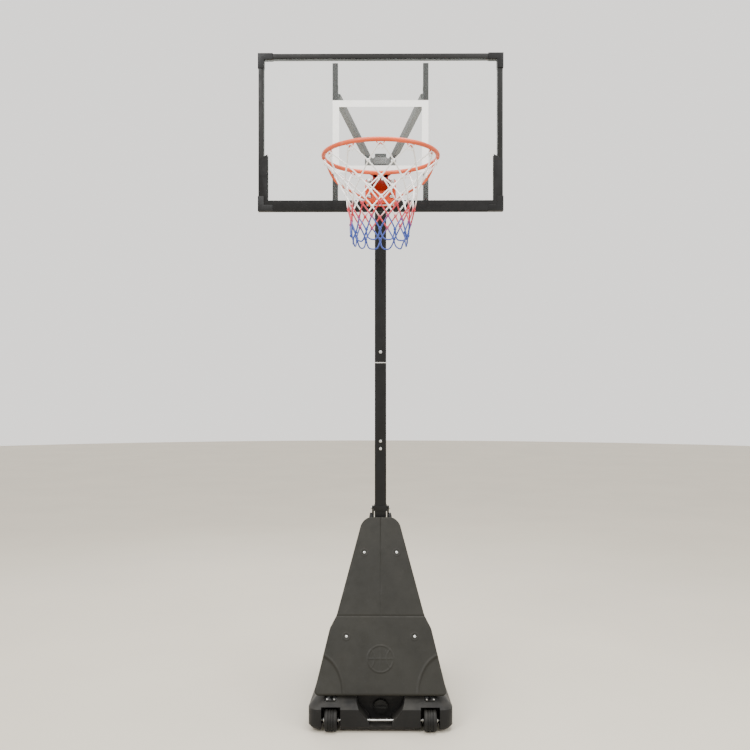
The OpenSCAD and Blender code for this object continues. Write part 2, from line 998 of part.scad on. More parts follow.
// Round bar of radius r swept along a path that never runs straight up
module swept_bar(path, r, sides) {
    last = len(path) - 1;
    function heading(i) = path[min(i + 1, last)] - path[max(i - 1, 0)];
    function across(i) = cross(heading(i), [0, 0, 1]) / norm(cross(heading(i), [0, 0, 1]));
    function over(i) = cross(across(i), heading(i)) / norm(heading(i));
    points = [for (i = [0:last], j = [0:sides - 1])
        path[i] + r * (cos(360 * j / sides) * across(i) + sin(360 * j / sides) * over(i))];
    skin = [for (i = [0:last - 1], j = [0:sides - 1])
        let (k = (j + 1) % sides)
        [i * sides + k, (i + 1) * sides + k, (i + 1) * sides + j, i * sides + j]];
    ends = [[for (j = [sides - 1:-1:0]) j], [for (j = [0:sides - 1]) last * sides + j]];
    polyhedron(points, concat(skin, ends), convexity = 6);
}

// Bent brace rod on the +X side, from the rim's side to the foot of the face plate
module brace() {
    path = [
        [226, 14, -10], [198, 88, -72], [150, 135, -95], [70, 262, -106],
        [44, rim_reach - 13.5, -98]
    ];
    places = [for (p = path) [p[0], rim_y + p[1], rim_z + p[2]]];
    swept_bar(cut_corners(places, 2), 5, 12);
}

module brace_right() {
    color(orange) brace();
}

module brace_left() {
    color(orange) mirror([1, 0, 0]) brace();
}

// ---------- net ----------

// Thin cord from p to q
module cord(p, q) {
    hull() {
        translate(p) sphere(net_cord / 2, $fn = 4);
        translate(q) sphere(net_cord / 2, $fn = 4);
    }
}

module net_cords() {
    color("white")
        for (k = [0:hook_count - 1], turn = [-1, 1], i = [0:net_rows - 1])
            cord(net_knot(k, i, turn), net_knot(k, i + 1, turn));
}

base_tank();
ballast_fill();
filler_cap();
cap_seal();
wheel_left();
wheel_right();
wheel_axle();
axle_retainers();
pole_boot();
lower_pole();
pole_bush();
lock_screw_upper();
lock_screw_lower();
strut_collar();
strut_top_bolts();
front_strut_left();
front_strut_right();
rear_strut_left();
rear_strut_right();
strut_foot_bolts();
front_panel();
panel_bolts();
upper_pole();
inner_tube();
joint_bolt();
pole_cap();
arm_bracket();
arm_bracket_bolts();
arm_left();
arm_right();
arm_plates();
arm_bolts();
boom_saddle();
centre_boom();
rear_mount_plate();
boom_bolts();
frame_top();
frame_bottom();
frame_left();
frame_right();
upright_left();
upright_right();
board_sheet();
target_square();
corner_caps();
edge_guard();
rim_pad();
rim_back_plate();
rim_mount_bolts();
spring_bolts();
spring_left();
spring_right();
rim_pivot_pin();
rim_face_plate();
rim_neck();
rim_ring();
rim_hooks();
brace_left();
brace_right();
net_cords();
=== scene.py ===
"""Portable basketball hoop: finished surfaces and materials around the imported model.

Every size is in metres. The board faces -Y, +Z is up, and the origin is on the floor under the
pole.
"""

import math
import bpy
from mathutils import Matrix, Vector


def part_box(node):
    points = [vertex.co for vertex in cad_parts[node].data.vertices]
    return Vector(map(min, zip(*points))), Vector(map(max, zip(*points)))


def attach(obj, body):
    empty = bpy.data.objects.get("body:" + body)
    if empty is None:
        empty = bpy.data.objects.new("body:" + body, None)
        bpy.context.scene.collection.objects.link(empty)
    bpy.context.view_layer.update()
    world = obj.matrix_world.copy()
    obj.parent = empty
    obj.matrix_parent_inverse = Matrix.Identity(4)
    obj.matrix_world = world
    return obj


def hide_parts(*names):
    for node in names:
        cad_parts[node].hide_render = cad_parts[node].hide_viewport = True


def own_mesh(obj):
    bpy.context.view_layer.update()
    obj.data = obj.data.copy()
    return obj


bl_info = {
    "name": "Portable basketball hoop",
    "version": (1, 0, 0),
    "blender": (4, 5, 0),
    "location": "View3D > Sidebar > Hoop",
    "description": "Builds the finished surfaces of a portable basketball hoop",
    "category": "Object",
}

import bmesh
import bpy
import numpy as np
from bpy.props import FloatProperty, FloatVectorProperty, IntProperty, PointerProperty
from mathutils import Vector

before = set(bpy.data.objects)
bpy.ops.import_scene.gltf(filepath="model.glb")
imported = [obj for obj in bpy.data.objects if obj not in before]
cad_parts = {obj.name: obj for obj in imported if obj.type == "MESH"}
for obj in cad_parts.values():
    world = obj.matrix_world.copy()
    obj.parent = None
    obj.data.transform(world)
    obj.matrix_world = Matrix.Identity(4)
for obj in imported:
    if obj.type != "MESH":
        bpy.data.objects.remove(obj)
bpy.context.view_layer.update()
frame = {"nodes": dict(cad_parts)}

RING_LOW, RING_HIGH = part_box("rim_ring")
RING_CENTRE = (RING_LOW + RING_HIGH) / 2
ROD = RING_HIGH.z - RING_LOW.z
RING_RADIUS = (RING_HIGH.x - RING_LOW.x) / 2 - ROD / 2
NET_LOW, NET_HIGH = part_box("net_cords")
HOOK_WIRE = 0.0021
MERGE_WITHIN = 2e-6
FLAT_WITHIN = math.radians(1)
PLAIT = 0.01
DUST = (0.20, 0.185, 0.155, 1)
DULL_ZINC = (0.30, 0.27, 0.23, 1)
BALL_SCUFF = (0.62, 0.60, 0.57, 1)
# Grey that paints shade into the grooves between the net's plaits.
PLAIT_PAINTED_SHADE = (0.55, 0.55, 0.58, 1)


# ---------- meshes ----------

def lattice_cells(rows, cols, wrap_rows, wrap_cols):
    """Row and column of each cell of a grid of points, and how many cells run each way."""
    high, wide = rows - (not wrap_rows), cols - (not wrap_cols)
    i, j = np.meshgrid(np.arange(high), np.arange(wide), indexing="ij")
    return i.ravel(), j.ravel(), high, wide


def lattice(rows, cols, wrap_rows=False, wrap_cols=False):
    """Quads of a rows by cols grid of points, joined round where a direction wraps."""
    i, j, _, _ = lattice_cells(rows, cols, wrap_rows, wrap_cols)
    below, beside = (i + 1) % rows, (j + 1) % cols
    corners = (i, j), (i, beside), (below, beside), (below, j)
    return np.stack([row * cols + col for row, col in corners], axis=1)


def lattice_uv(rows, cols, wrap_rows=False, wrap_cols=False, size=(1.0, 1.0)):
    """Corner coordinates that go with lattice(): u runs along the columns, v along the rows."""
    i, j, high, wide = lattice_cells(rows, cols, wrap_rows, wrap_cols)
    u = np.stack([j, j + 1, j + 1, j], axis=1) / wide * size[0]
    v = np.stack([i, i, i + 1, i + 1], axis=1) / high * size[1]
    return np.stack([u, v], axis=2).reshape(-1, 2)


def add_mesh(name, points, quads, caps=(), uv=None, smooth=True):
    """Object at the origin with these points, quads and caps, its faces turned outwards."""
    faces = [tuple(q) for q in quads.tolist()] + [tuple(c) for c in caps]
    mesh = bpy.data.meshes.new(name)
    mesh.from_pydata(np.asarray(points, float).tolist(), [], faces)
    if uv is not None:
        layer = mesh.uv_layers.new(name="UVMap")
        flat = np.zeros((len(mesh.loops), 2), np.float32)
        flat[:len(uv)] = uv
        layer.data.foreach_set("uv", flat.ravel())
    work = bmesh.new()
    work.from_mesh(mesh)
    bmesh.ops.recalc_face_normals(work, faces=work.faces)
    work.to_mesh(mesh)
    work.free()
    mesh.polygons.foreach_set("use_smooth", np.full(len(mesh.polygons), smooth))
    piece = bpy.data.objects.new(name, mesh)
    bpy.context.scene.collection.objects.link(piece)
    return piece


def finish_piece(piece, body, material, nodes=()):
    """Gives a piece its material and body, and hides the CAD nodes that it stands for."""
    piece.data.materials.clear()
    piece.data.materials.append(material)
    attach(piece, body)
    if nodes:
        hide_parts(*nodes)
    return piece


def unit(v):
    """Rows of v scaled to length one."""
    return v / np.maximum(np.linalg.norm(v, axis=-1, keepdims=True), 1e-12)


def smooth_path(points, rounds=3, closed=False):
    """Path with each corner cut at a quarter of its sides, rounds times: a quadratic spline."""
    p = np.asarray(points, float)
    for _ in range(rounds):
        q = np.roll(p, -1, axis=0) if closed else p[1:]
        o = p if closed else p[:-1]
        cut = np.stack([0.75 * o + 0.25 * q, 0.25 * o + 0.75 * q], axis=1).reshape(-1, 3)
        p = cut if closed else np.vstack([p[:1], cut, p[-1:]])
    return p


def carried_frames(path, closed=False):
    """Two axes across a path at each point, carried along it with the least twist."""
    if closed:
        heading = unit(np.roll(path, -1, axis=0) - np.roll(path, 1, axis=0))
    else:
        heading = unit(np.gradient(path, axis=0))
    start = np.eye(3)[np.argmin(np.abs(heading[0]))]
    across = np.empty_like(path)
    side = unit(np.cross(heading[0], start))
    for n, d in enumerate(heading):
        side = unit(side - d * np.dot(side, d))
        across[n] = side
    return across, np.cross(heading, across)


def tube(path, radius, sides=12, closed=False):
    """Round bar: at each point of the path, centre + radius (cos a across + sin a over)."""
    path = np.asarray(path, float)
    across, over = carried_frames(path, closed)
    a = np.linspace(0, 2 * np.pi, sides, endpoint=False)
    r = np.broadcast_to(np.asarray(radius, float), len(path))[:, None, None]
    ring = np.cos(a)[None, :, None] * across[:, None] + np.sin(a)[None, :, None] * over[:, None]
    points = (path[:, None] + r * ring).reshape(-1, 3)
    quads = lattice(len(path), sides, closed, True)
    length = np.linalg.norm(np.diff(path, axis=0), axis=1).sum()
    uv = lattice_uv(len(path), sides, closed, True, (1.0, length / PLAIT))
    last = (len(path) - 1) * sides
    caps = () if closed else (list(range(sides))[::-1], list(range(last, last + sides)))
    return points, quads, caps, uv


def joined(parts):
    """Several (points, quads, caps, uv) shapes as one."""
    points, quads, caps, uvs, base = [], [], [], [], 0
    for p, q, c, uv in parts:
        points.append(p)
        quads.append(q + base)
        caps.extend([[i + base for i in cap] for cap in c])
        uvs.append(uv)
        base += len(p)
    return np.vstack(points), np.vstack(quads), caps, np.vstack(uvs)


def turned(profile, steps, centre, axis=0):
    """Closed profile of (radius, along) turned about X, Y or Z through centre."""
    a = np.linspace(0, 2 * np.pi, steps, endpoint=False)[:, None]
    r, s = np.asarray(profile, float).T[:, None, :]
    flat = [r * np.cos(a), r * np.sin(a)]
    flat.insert(axis, np.broadcast_to(s, flat[0].shape))
    points = np.stack(flat, axis=2).reshape(-1, 3) + np.asarray(centre)
    quads = lattice(steps, len(profile), True, True)
    return points, quads, (), lattice_uv(steps, len(profile), True, True)


def rounded(outline, radius, steps=5):
    """Closed outline in a plane with each corner replaced by an arc that touches both sides."""
    p = np.asarray(outline, float)
    before, after = np.roll(p, 1, axis=0), np.roll(p, -1, axis=0)
    back, ahead = before - p, after - p
    reach = np.minimum(np.linalg.norm(back, axis=1), np.linalg.norm(ahead, axis=1)) * 0.45
    cut = np.minimum(radius, reach)[:, None, None]
    t = np.linspace(0, 1, steps)[None, :, None]
    a = p[:, None] + unit(back)[:, None] * cut
    b = p[:, None] + unit(ahead)[:, None] * cut
    mid = p[:, None]
    return ((1 - t) ** 2 * a + 2 * t * (1 - t) * mid + t ** 2 * b).reshape(-1, p.shape[1])


def eased(node, width, material, slot, body, segments=2, angle=32):
    """Copy of a CAD node, merged, with its sharp edges rounded over as rolled or moulded ones are.

    Edges sharper than the angle, in degrees, get an arc of the width in this many segments."""
    mesh = frame["nodes"][node].data.copy()
    work = bmesh.new()
    work.from_mesh(mesh)
    bmesh.ops.remove_doubles(work, verts=work.verts, dist=MERGE_WITHIN)
    bmesh.ops.dissolve_limit(
        work, angle_limit=FLAT_WITHIN, verts=work.verts, edges=work.edges)
    work.to_mesh(mesh)
    work.free()
    mesh.polygons.foreach_set("use_smooth", np.full(len(mesh.polygons), True))
    piece = bpy.data.objects.new(node + "_finished", mesh)
    bpy.context.scene.collection.objects.link(piece)
    bevel = piece.modifiers.new("eased_edges", "BEVEL")
    bevel.width = width
    bevel.segments = segments
    bevel.limit_method = "ANGLE"
    bevel.angle_limit = math.radians(angle)
    bevel.harden_normals = True
    return finish_piece(piece, body, material, [node])


# ---------- materials ----------

class Finish:
    """A material's node tree, with short calls for the few nodes that the finishes share."""

    def __init__(self, name):
        self.material = bpy.data.materials.new(name)
        self.material.use_nodes = True
        self.tree = self.material.node_tree
        self.tree.nodes.clear()
        self.output = self.node("ShaderNodeOutputMaterial")
        self.shader = self.node("ShaderNodeBsdfPrincipled")
        self.link(self.shader.outputs[0], self.output.inputs["Surface"])
        self.coords = self.node("ShaderNodeTexCoord")

    def node(self, kind, **settings):
        """New node of a kind, with these settings on it."""
        made = self.tree.nodes.new(kind)
        for key, value in settings.items():
            setattr(made, key, value)
        return made

    def link(self, a, b):
        """Joins an output to an input."""
        self.tree.links.new(a, b)

    def place(self, source="Object", scale=(1, 1, 1)):
        """Coordinates times a scale along each axis."""
        mapping = self.node("ShaderNodeMapping")
        mapping.inputs["Scale"].default_value = scale
        self.link(self.coords.outputs[source], mapping.inputs["Vector"])
        return mapping.outputs[0]

    def noise(self, scale, detail=3.0, vector=None, rough=0.55):
        """Cloudy noise, near 0.5, with this many features to a metre."""
        made = self.node("ShaderNodeTexNoise")
        made.inputs["Scale"].default_value = scale
        made.inputs["Detail"].default_value = detail
        made.inputs["Roughness"].default_value = rough
        self.link(vector or self.coords.outputs["Object"], made.inputs["Vector"])
        return made.outputs["Fac"]

    def spread(self, value, low, high, start=0.3, end=0.7):
        """Value carried from the range start to end onto the range low to high, and held there."""
        made = self.node("ShaderNodeMapRange")
        self.link(value, made.inputs["Value"])
        made.inputs["From Min"].default_value = start
        made.inputs["From Max"].default_value = end
        made.inputs["To Min"].default_value = low
        made.inputs["To Max"].default_value = high
        return made.outputs[0]

    def mix(self, share, first, second):
        """Colour that runs from the first to the second as the share runs from 0 to 1."""
        made = self.node("ShaderNodeMix", data_type="RGBA")
        self.link(share, made.inputs[0])
        for socket, value in ((made.inputs[6], first), (made.inputs[7], second)):
            if isinstance(value, (tuple, list)):
                socket.default_value = value
            else:
                self.link(value, socket)
        return made.outputs[2]

    def bumps(self, *layers):
        """Bump layers of (height, strength, distance), each laid over the last."""
        normal = None
        for height, strength, distance in layers:
            made = self.node("ShaderNodeBump")
            made.inputs["Strength"].default_value = strength
            made.inputs["Distance"].default_value = distance
            self.link(height, made.inputs["Height"])
            if normal:
                self.link(normal, made.inputs["Normal"])
            normal = made.outputs[0]
        self.link(normal, self.shader.inputs["Normal"])

    def upward(self):
        """Share of a surface that faces up, where dust settles."""
        geometry = self.node("ShaderNodeNewGeometry")
        split = self.node("ShaderNodeSeparateXYZ")
        self.link(geometry.outputs["Normal"], split.inputs[0])
        return self.spread(split.outputs["Z"], 0, 1, 0.2, 1.0)

    def set(self, **values):
        """Puts numbers straight on the shader's own sockets."""
        for key, value in values.items():
            self.shader.inputs[key.replace("_", " ")].default_value = value


def shade(colour, share):
    """Colour scaled towards black or white, as red, green, blue, alpha."""
    c = [min(1.0, x * share) for x in colour[:3]]
    return (*c, 1.0)


def powder_coat(name, colour, rough=0.42, wear=0.35, bare=0.05, gloss=0.4):
    """Baked powder coat on steel: fine orange peel, faint mottle, rubs and small chips."""
    f = Finish(name)
    mottle = f.spread(f.noise(7, 4), 0, 1)
    base = f.mix(mottle, shade(colour, 0.84), shade(colour, 1.14))
    scuff = f.spread(f.noise(38, 6, rough=0.7), 0, wear, 0.60, 0.74)
    base = f.mix(scuff, base, shade([x * 0.8 + bare for x in colour], 1.0))
    chips = f.spread(f.noise(130, 5, rough=0.6), 0, 0.8 * wear, 0.68, 0.74)
    base = f.mix(chips, base, shade([x * 0.8 + 2 * bare for x in colour], 1.0))
    f.link(base, f.shader.inputs["Base Color"])
    f.link(f.spread(f.noise(24, 4), rough - 0.07, rough + 0.10), f.shader.inputs["Roughness"])
    f.bumps((f.noise(900, 2), 0.10, 0.0004), (f.noise(170, 3), 0.05, 0.001))
    f.set(Specular_IOR_Level=gloss)
    return f.material


def moulded_plastic(name, colour, rough=0.55, grain=1400, dust=0.12):
    """Blow-moulded plastic: leather-fine grain, slow colour drift, dust on what faces up."""
    f = Finish(name)
    drift = f.spread(f.noise(4, 5), 0, 1)
    base = f.mix(drift, shade(colour, 0.78), shade(colour, 1.22))
    specks = f.spread(f.noise(110, 6, rough=0.7), 0, 0.5, 0.60, 0.75)
    base = f.mix(specks, base, shade([x * 0.8 + 0.025 for x in colour], 1.0))
    dusty = f.node("ShaderNodeMath", operation="MULTIPLY")
    f.link(f.upward(), dusty.inputs[0])
    f.link(f.spread(f.noise(13, 5), 0.1 * dust, 1.6 * dust), dusty.inputs[1])
    base = f.mix(dusty.outputs[0], base, DUST)
    f.link(base, f.shader.inputs["Base Color"])
    f.link(f.spread(f.noise(30, 4), rough - 0.08, rough + 0.12), f.shader.inputs["Roughness"])
    cells = f.node("ShaderNodeTexVoronoi", feature="F1")
    cells.inputs["Scale"].default_value = grain * 0.5
    f.link(f.coords.outputs["Object"], cells.inputs["Vector"])
    f.bumps((cells.outputs["Distance"], 0.16, 0.0005), (f.noise(22, 3), 0.12, 0.003))
    f.set(Specular_IOR_Level=0.24)
    return f.material


def zinc_plate(name, colour=(0.62, 0.62, 0.60), rough=0.34):
    """Zinc plating: fine drawn lines, a cloudy bloom and dull patches."""
    f = Finish(name)
    bloom = f.spread(f.noise(90, 5), 0, 1)
    base = f.mix(bloom, shade(colour, 0.72), shade(colour, 1.1))
    spots = f.spread(f.noise(420, 3), 0, 0.6, 0.62, 0.72)
    base = f.mix(spots, base, DULL_ZINC)
    f.link(base, f.shader.inputs["Base Color"])
    f.link(f.spread(f.noise(150, 4), rough - 0.08, rough + 0.14), f.shader.inputs["Roughness"])
    lines = f.noise(260, 2, f.place(scale=(1, 14, 1)))
    f.bumps((lines, 0.08, 0.0003))
    f.set(Metallic=1.0)
    return f.material


def rubber(name, colour=(0.0080, 0.0080, 0.0083)):
    """Matt rubber or foam: pores, a dusty bloom and soft wrinkles."""
    f = Finish(name)
    bloom = f.spread(f.noise(30, 5), 0, 1)
    f.link(f.mix(bloom, shade(colour, 0.8), shade(colour, 1.5)), f.shader.inputs["Base Color"])
    f.link(f.spread(f.noise(60, 3), 0.62, 0.82), f.shader.inputs["Roughness"])
    pores = f.node("ShaderNodeTexVoronoi", feature="F1")
    pores.inputs["Scale"].default_value = 520
    f.link(f.coords.outputs["Object"], pores.inputs["Vector"])
    f.bumps((pores.outputs["Distance"], 0.2, 0.0006), (f.noise(14, 3), 0.1, 0.002))
    f.set(Specular_IOR_Level=0.22)
    return f.material


def clear_board(name, tint):
    """Clear polycarbonate: faint green tint, thin haze, hairline scratches."""
    f = Finish(name)
    haze = f.spread(f.noise(5, 5), 0, 1)
    f.link(f.mix(haze, shade(tint, 0.94), shade(tint, 1.0)), f.shader.inputs["Base Color"])
    scratches = f.noise(40, 2, f.place(scale=(1, 1, 18)), 0.7)
    f.link(f.spread(scratches, 0.05, 0.16, 0.5, 0.75), f.shader.inputs["Roughness"])
    f.link(f.spread(f.noise(3, 6), 0.02, 0.06), f.shader.inputs["Alpha"])
    f.bumps((scratches, 0.03, 0.0002))
    f.set(IOR=1.58)
    return f.material


def printed_film(name, colour):
    """Screen-printed ink: slightly uneven cover and ball scuffs."""
    f = Finish(name)
    cover = f.spread(f.noise(26, 6), 0, 1)
    base = f.mix(cover, shade(colour, 0.95), shade(colour, 1.02))
    scuffs = f.spread(f.noise(16, 7, rough=0.75), 0, 0.35, 0.62, 0.78)
    f.link(f.mix(scuffs, base, BALL_SCUFF), f.shader.inputs["Base Color"])
    f.link(f.spread(f.noise(40, 3), 0.3, 0.45), f.shader.inputs["Roughness"])
    f.bumps((f.noise(700, 2), 0.05, 0.0003))
    return f.material


def braided_cord(name, low, high, bands):
    """Braided nylon: diagonal plaits round the cord, coloured in bands by height, with painted
    shade in the grooves between the plaits.
    """
    f = Finish(name)
    split = f.node("ShaderNodeSeparateXYZ")
    f.link(f.coords.outputs["Object"], split.inputs[0])
    waver = f.node("ShaderNodeMath", operation="MULTIPLY_ADD")
    f.link(f.noise(24, 2), waver.inputs[0])
    waver.inputs[1].default_value = 0.016
    f.link(split.outputs["Z"], waver.inputs[2])
    height = f.spread(waver.outputs[0], 0, 1, low, high)
    ramp = f.node("ShaderNodeValToRGB")
    while len(ramp.color_ramp.elements) < 2 * len(bands):
        ramp.color_ramp.elements.new(0.5)
    stops = [x for start, end, colour in bands for x in ((start, colour), (end, colour))]
    for element, (at, colour) in zip(ramp.color_ramp.elements, stops):
        element.position = at
        element.color = (*colour, 1)
    f.link(height, ramp.inputs[0])
    wave = f.node("ShaderNodeTexWave", wave_type="BANDS", bands_direction="DIAGONAL")
    wave.inputs["Scale"].default_value = 1.0
    wave.inputs["Distortion"].default_value = 0.6
    mapping = f.place("UV", (3.0, 1.2, 1.0))
    f.link(mapping, wave.inputs["Vector"])
    # Painted shade: the wave darkens the band colour towards grey in the grooves between plaits.
    dark = f.node("ShaderNodeMix", data_type="RGBA", blend_type="MULTIPLY")
    f.link(f.spread(wave.outputs["Fac"], 0.45, 0.0, 0.0, 0.5), dark.inputs[0])
    f.link(ramp.outputs[0], dark.inputs[6])
    dark.inputs[7].default_value = PLAIT_PAINTED_SHADE
    f.link(dark.outputs[2], f.shader.inputs["Base Color"])
    f.link(f.spread(f.noise(300, 3), 0.62, 0.8), f.shader.inputs["Roughness"])
    f.bumps((wave.outputs["Fac"], 0.5, 0.0008), (f.noise(2500, 2), 0.2, 0.0003))
    f.set(Sheen_Weight=0.25)
    return f.material


def studio_paint(name, colour):
    """Matt studio floor: slow drift of tone and a fine tooth."""
    f = Finish(name)
    drift = f.spread(f.noise(0.8, 4), 0, 1)
    f.link(f.mix(drift, shade(colour, 0.97), shade(colour, 1.03)), f.shader.inputs["Base Color"])
    f.link(f.spread(f.noise(2, 4), 0.7, 0.85), f.shader.inputs["Roughness"])
    f.bumps((f.noise(60, 4), 0.04, 0.002))
    return f.material


FINISHES = {}


def finish_of(name):
    """The named finish, made the first time that it is asked for."""
    if name in FINISHES:
        return FINISHES[name]
    c = bpy.context.scene.hoop_colours
    recipes = {
        "tank": lambda: moulded_plastic("tank_plastic", c.tank, 0.5, 1300, 0.12),
        "cap": lambda: moulded_plastic("cap_plastic", c.tank, 0.45, 1800, 0.06),
        "panel": lambda: moulded_plastic("panel_plastic", c.panel, 0.52, 1100, 0.05),
        "wheel": lambda: moulded_plastic("wheel_plastic", c.tank, 0.55, 1500, 0.15),
        "pole": lambda: powder_coat("pole_coat", c.pole, 0.42, 0.12, 0.008, 0.25),
        "strut": lambda: powder_coat("strut_coat", c.pole, 0.46, 0.12, 0.008, 0.25),
        "frame": lambda: powder_coat("frame_coat", c.frame, 0.48, 0.12, 0.008, 0.25),
        "arm": lambda: powder_coat("arm_coat", c.arm, 0.45, 0.3, 0.1),
        "rim": lambda: powder_coat("rim_coat", c.rim, 0.36, 0.5, 0.14),
        # Painted shade: the plates get the rim's paint deepened to stand for their shade.
        "bracket": lambda: powder_coat("bracket_painted_shade_coat", c.bracket, 0.38, 0.45, 0.1),
        # Painted shade: the neck gets the rim's paint darkened to stand for its shadow under the
        # ring.
        "neck": lambda: powder_coat("neck_painted_shade_coat", c.neck, 0.38, 0.3, 0.06),
        "zinc": lambda: zinc_plate("zinc_plate"),
        "spring": lambda: zinc_plate("spring_zinc", (0.50, 0.50, 0.49), 0.4),
        "rubber": lambda: rubber("black_rubber"),
        "guard": lambda: rubber("guard_foam", (0.0055, 0.0055, 0.0057)),
        "nylon": lambda: moulded_plastic("nylon_bush", (0.60, 0.60, 0.57), 0.4, 900, 0.05),
        "ballast": lambda: moulded_plastic("ballast", (0.45, 0.55, 0.60), 0.3, 900, 0.0),
        "sheet": lambda: clear_board("clear_board", c.sheet),
        "film": lambda: printed_film("printed_film", c.target),
    }
    FINISHES[name] = recipes[name]()
    return FINISHES[name]


def dress(finish, *nodes):
    """Puts a finish on CAD nodes whose shape is already the real one."""
    for name in nodes:
        for place in frame["nodes"][name].material_slots:
            place.material = finish_of(finish)


# ---------- settings ----------

def metres(name, text, value, low, high):
    """Length that a user can change, between a low and a high limit."""
    return FloatProperty(name=name, description=text, default=value, min=low, max=high,
                         unit="LENGTH", precision=4)


def paint(name, text, value):
    """Colour that a user can change."""
    return FloatVectorProperty(name=name, description=text, default=value, min=0, max=1,
                               subtype="COLOR", size=3)


class HoopSizes(bpy.types.PropertyGroup):
    """Sizes of the net and of eased edges"""
    cord: metres("Net cord", "Thickness of the net's cord", 0.006, 0.005, 0.007)
    slack: metres("Net slack", "How far slack pulls the net's knots off true", 0.008, 0.0, 0.012)
    hooks: IntProperty(name="Hooks", description="Number of net hooks", default=12, min=12, max=12)
    rows: IntProperty(name="Net rows", description="Rows of meshes", default=7, min=7, max=7)
    row_drop: metres("Row drop", "Drop of one row of meshes", 0.051, 0.045, 0.055)
    net_drop: metres("Net drop", "Drop from the net's hooks to its last knots", 0.349, 0.3, 0.36)
    net_start: metres("Net start", "Drop from the rim to the net's top", 0.017, 0.01, 0.03)
    net_foot: metres("Net foot", "Radius that the net tends to", 0.106, 0.08, 0.14)
    net_flare: metres("Net flare", "Radius that the net adds at its top", 0.124, 0.1, 0.14)
    net_fade: metres("Net fade", "Drop over which the flare fades", 0.145, 0.1, 0.2)
    eased: metres("Eased edges", "Radius of rolled and cut steel edges", 0.0012, 0.0005, 0.002)
    tank_edge: metres("Tank edges", "Radius of the blown tank's edges", 0.007, 0.003, 0.01)


class HoopColours(bpy.types.PropertyGroup):
    """Base colour of each finish"""
    tank: paint("Tank", "Black plastic of the base", (0.0050, 0.0051, 0.0053))
    panel: paint("Panel", "Olive grey plastic of the front panel", (0.0125, 0.0120, 0.0092))
    pole: paint("Pole", "Black coat of the pole and struts", (0.0042, 0.0042, 0.0040))
    frame: paint("Frame", "Charcoal coat of the board's frame", (0.0052, 0.0051, 0.0046))
    # Mid grey for the arms, their plates and the boom, far lighter than the black pole, struts and
    # frame.
    arm: paint("Arms", "Silver grey coat of the arms", (0.085, 0.085, 0.083))
    rim: paint("Rim", "Orange coat of the rim", (0.60, 0.085, 0.022))
    # Painted shade: the rim's orange deepened for the plates, which sit in shade behind and under
    # the ring.
    bracket: paint("Bracket", "Deep orange coat of the bracket", (0.56, 0.050, 0.006))
    # Painted shade: the rim's orange darkened to the dark red that the neck's shaded underside
    # shows.
    neck: paint("Neck", "Dark red coat of the neck", (0.25, 0.0085, 0.0035))
    sheet: paint("Sheet", "Tint of the clear board", (0.86, 0.93, 0.91))
    target: paint("Target", "White ink of the target", (0.86, 0.86, 0.84))
    net_white: paint("Net top", "White band of the net", (0.86, 0.85, 0.83))
    net_red: paint("Net middle", "Red band of the net", (0.50, 0.012, 0.030))
    net_blue: paint("Net foot", "Blue band of the net", (0.018, 0.050, 0.30))
    floor: paint("Floor", "Colour of the studio floor", (0.60, 0.555, 0.465))
    wall: paint("Wall", "Colour of the studio wall", (0.93, 0.905, 0.87))


def sizes():
    """The sizes as they are set in the scene."""
    return bpy.context.scene.hoop_sizes


def colours():
    """The colours as they are set in the scene."""
    return bpy.context.scene.hoop_colours


# ---------- stage ----------

class HOOP_OT_stage(bpy.types.Operator):
    """Pale floor, soft lights and the camera"""
    bl_idname = "hoop.stage"
    bl_label = "Stage"

    # name, place, what it points at, width and power in watts
    lights = (
        ("key", (-2.6, -4.2, 4.6), (0.1, -0.5, 1.7), 2.4, 230),
        ("fill", (3.4, -3.2, 3.2), (0.0, -0.4, 1.6), 2.2, 90),
        ("top", (0.6, -0.9, 5.2), (0.0, 0.4, 0.0), 2.4, 170),
        ("back", (-1.5, 3.6, 3.8), (0.0, 0.0, 1.5), 2.4, 70),
    )
    room_light = 1.6
    floor_radius, floor_rings, floor_sides = 24, 12, 72

    def execute(self, context):
        self.floor()
        for light in self.lights:
            self.light(*light)
        world = bpy.data.worlds.new("soft_room")
        world.use_nodes = True
        back = world.node_tree.nodes["Background"]
        back.inputs["Color"].default_value = (*colours().wall, 1)
        back.inputs["Strength"].default_value = self.room_light
        context.scene.world = world
        self.camera(context)
        return {"FINISHED"}

    def floor(self):
        """Disc whose rings crowd in near the middle: radius times share to the power 1.5."""
        rings, sides = self.floor_rings, self.floor_sides
        radius = self.floor_radius * np.linspace(0.02, 1, rings)[:, None] ** 1.5
        a = np.linspace(0, 2 * np.pi, sides, endpoint=False)[None, :]
        points = np.stack([radius * np.cos(a), radius * np.sin(a), 0 * radius * a], axis=2)
        quads = lattice(rings, sides, False, True)
        floor = add_mesh("studio_floor", points.reshape(-1, 3), quads, [list(range(sides))])
        floor.data.materials.append(studio_paint("studio_floor", colours().floor))

    def light(self, name, place, aim, size, power):
        """Round area light at a place, turned to face its aim."""
        data = bpy.data.lights.new(name, "AREA")
        data.shape = "DISK"
        data.size = size
        data.energy = power
        lamp = bpy.data.objects.new(name, data)
        lamp.location = place
        lamp.rotation_euler = (Vector(aim) - Vector(place)).to_track_quat("-Z", "Y").to_euler()
        bpy.context.scene.collection.objects.link(lamp)

    def camera(self, context):
        """Level camera at standing height, 4.245 m in front of the pole."""
        data = bpy.data.cameras.new("front_camera")
        data.sensor_width = 36.0
        data.lens = 38.78
        data.shift_y = 0.0264
        data.clip_end = 60
        eye = bpy.data.objects.new("front_camera", data)
        eye.location = (0.0, -4.245, 1.594)
        eye.rotation_euler = (math.pi / 2, 0, math.radians(0.39))
        context.scene.collection.objects.link(eye)
        context.scene.camera = eye


# ---------- net ----------

